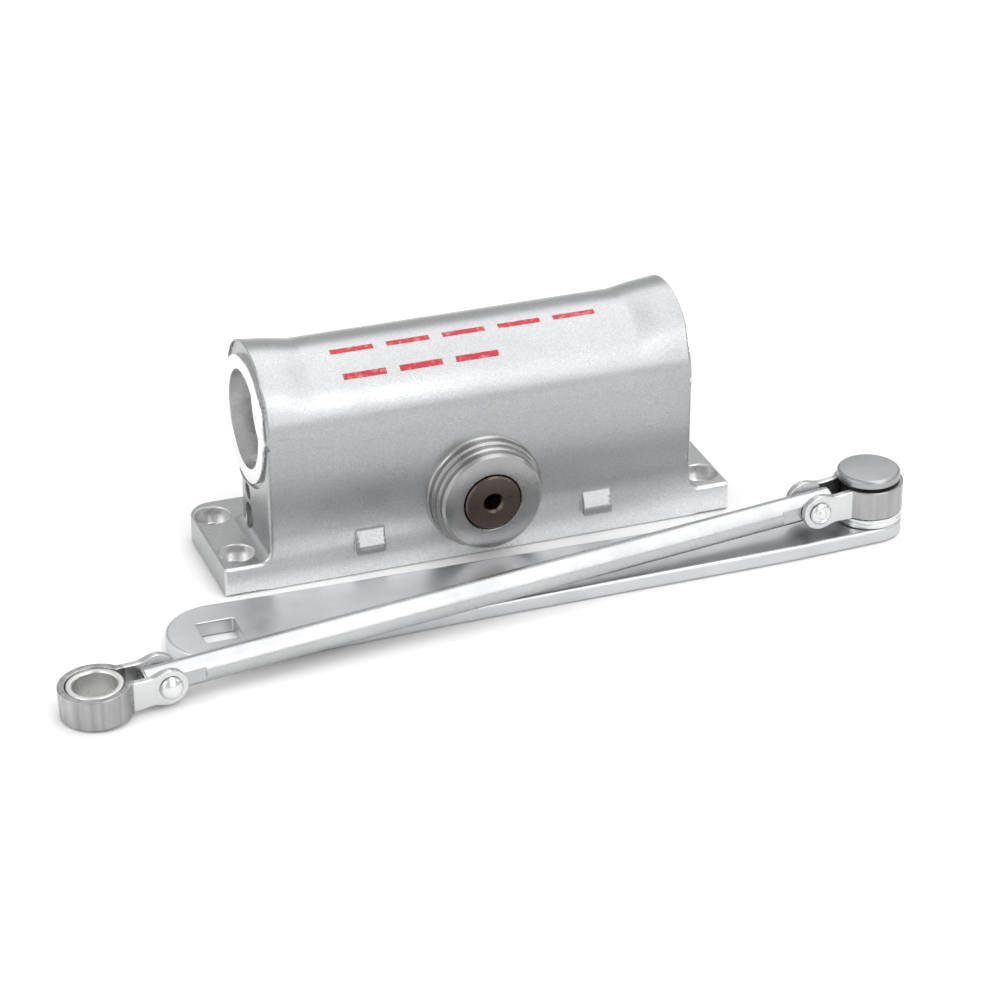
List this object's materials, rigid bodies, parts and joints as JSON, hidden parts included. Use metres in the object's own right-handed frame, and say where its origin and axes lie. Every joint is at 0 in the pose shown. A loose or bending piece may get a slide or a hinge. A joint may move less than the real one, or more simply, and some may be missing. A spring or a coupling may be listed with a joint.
{
  "type": "door closer",
  "caption": "Surface door closer body with a cylindrical barrel on a screw-down base, a round pinion boss, and its separate flat main arm and jointed rod forearm.",
  "frame": {"origin": "centre of the base face that lies against the door", "axes": "+X along the barrel, away from the end with the speed screws; +Y along the pinion shaft, towards its square end; +Z out from the door"},
  "size_m": [0.3517, 0.1603, 0.0916],
  "materials": {
    "silver_casting": "silver-grey metallic paint over a fine-grained casting",
    "plated_steel": "silver-grey metallic finish on forged and bent steel, lightly worn at the edges",
    "machined_steel": "turned steel",
    "piston_iron": "ground iron, oiled",
    "dark_shaft_steel": "dark heat-treated steel",
    "spring_steel": "dark spring wire",
    "bearing_metal": "turned bearing metal",
    "black_rubber": "matt black rubber"
  },
  "bodies": {
    "housing": {"closer_housing": "silver_casting", "left_end_plug": "machined_steel", "right_end_plug": "machined_steel", "left_end_o_ring": "black_rubber", "right_end_o_ring": "black_rubber", "pinion_bearing_front": "bearing_metal", "pinion_bearing_rear": "bearing_metal", "pinion_seal_front": "black_rubber", "pinion_seal_rear": "black_rubber", "rear_bearing_cap": "machined_steel", "closing_spring": "spring_steel"},
    "piston_and_rack": {"piston": "piston_iron", "piston_seal": "black_rubber", "check_valve_ball": "machined_steel", "check_valve_retainer": "machined_steel"},
    "pinion_shaft": {"pinion": "dark_shaft_steel"},
    "sweep_valve": {"sweep_valve_screw": "machined_steel", "sweep_valve_o_ring": "black_rubber"},
    "latch_valve": {"latch_valve_screw": "machined_steel", "latch_valve_o_ring": "black_rubber"},
    "main_arm_and_pivot": {"main_arm": "plated_steel", "elbow_pivot": "plated_steel", "elbow_washer": "plated_steel"},
    "elbow_knuckle": {"elbow_strap": "plated_steel", "elbow_bush": "bearing_metal", "elbow_rivet": "plated_steel"},
    "forearm": {"forearm_rod": "plated_steel"},
    "eye_knuckle": {"eye_strap": "plated_steel", "eye_bush": "bearing_metal", "eye_rivet": "plated_steel"}
  },
  "joints": [
    {"name": "pinion_turn", "type": "hinge", "parent": "housing", "child": "pinion_shaft", "pos_m": [0.0006, 0, 0.0273], "axis": [0, 1, 0], "range_deg": [0, 115], "stiffness_Nm_per_rad": 3, "springref_deg": -114.59},
    {"name": "piston_slide", "type": "slide", "parent": "housing", "child": "piston_and_rack", "axis": [1, 0, 0], "range_m": [0, 0.0355], "deforming": ["closing_spring"]},
    {"name": "sweep_valve_turn", "type": "hinge", "parent": "housing", "child": "sweep_valve", "pos_m": [-0.08, 0, 0.0185], "axis": [1, 0, 0], "range_deg": [-180, 180]},
    {"name": "latch_valve_turn", "type": "hinge", "parent": "housing", "child": "latch_valve", "pos_m": [-0.08, 0.0012, 0.0284], "axis": [1, 0, 0], "range_deg": [-180, 180]},
    {"name": "arm_set_lift", "type": "slide", "parent": "housing", "child": "main_arm_and_pivot", "axis": [0, 0, 1], "range_m": [0, 0.1]},
    {"name": "elbow_turn", "type": "hinge", "parent": "main_arm_and_pivot", "child": "elbow_knuckle", "pos_m": [0.1504, -0.0615, 0.01635], "axis": [0, 0, 1], "range_deg": [0, 165]},
    {"name": "forearm_tilt", "type": "hinge", "parent": "elbow_knuckle", "child": "forearm", "pos_m": [0.12423, -0.06415, 0.01635], "axis": [-0.1007, 0.9949, 0], "range_deg": [0, 60]},
    {"name": "eye_tilt", "type": "hinge", "parent": "forearm", "child": "eye_knuckle", "pos_m": [-0.14708, -0.09161, 0.0083], "axis": [-0.1007, 0.9949, 0], "range_deg": [0, 60]}
  ],
  "couplings": [
    {"joint": "piston_slide", "follows": "pinion_turn", "m_per_rad": 0.0175}
  ]
}
